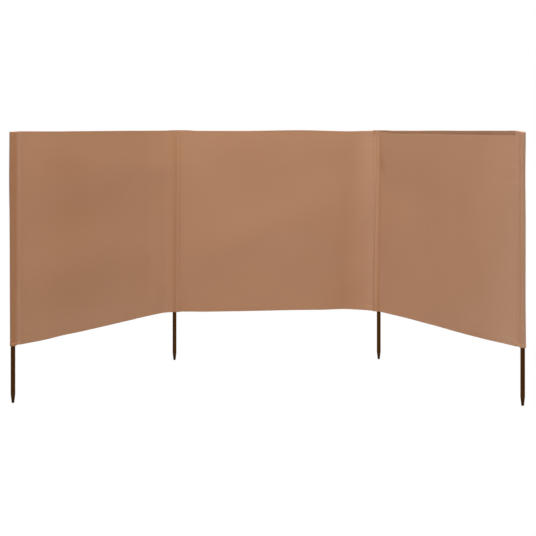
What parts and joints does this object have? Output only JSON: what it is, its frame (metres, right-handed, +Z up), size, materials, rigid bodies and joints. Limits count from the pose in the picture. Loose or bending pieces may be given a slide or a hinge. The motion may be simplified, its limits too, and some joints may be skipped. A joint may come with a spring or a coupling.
{
  "type": "beach windbreak",
  "caption": "Folding beach windbreak: plain woven cloth bays in sleeves on tapered steel poles, end bays swung forward to shelter the space in front.",
  "frame": {"origin": "centre of the blunt tip of the left inner pole, where it meets the ground", "axes": "+X along the middle bay to the right inner pole, +Y away from the sheltered side, +Z up along the poles"},
  "size_m": [2.8266, 1.1937, 1.492],
  "materials": {
    "cloth": "plain-woven polyester, taupe, matt",
    "pole": "dark brown powder coat, satin",
    "cap": "black moulded plastic"
  },
  "bodies": {
    "middle_bay": {"left_inner_pole": "pole", "right_inner_pole": "pole", "left_inner_cap": "cap", "right_inner_cap": "cap", "left_inner_sleeve": "cloth", "right_inner_sleeve": "cloth", "middle_panel": "cloth", "middle_top_hem": "cloth", "middle_bottom_hem": "cloth"},
    "left_bay": {"left_end_pole": "pole", "left_end_cap": "cap", "left_end_sleeve": "cloth", "left_panel": "cloth", "left_top_hem": "cloth", "left_bottom_hem": "cloth"},
    "right_bay": {"right_end_pole": "pole", "right_end_cap": "cap", "right_end_sleeve": "cloth", "right_panel": "cloth", "right_top_hem": "cloth", "right_bottom_hem": "cloth"}
  },
  "joints": [
    {"name": "left_bay_fold", "type": "hinge", "parent": "middle_bay", "child": "left_bay", "pos_m": [0, 0, 0], "axis": [0, 0, 1], "range_deg": [-162, 58]},
    {"name": "right_bay_fold", "type": "hinge", "parent": "middle_bay", "child": "right_bay", "pos_m": [1.33, 0, 0], "axis": [0, 0, -1], "range_deg": [-171, 49]}
  ]
}
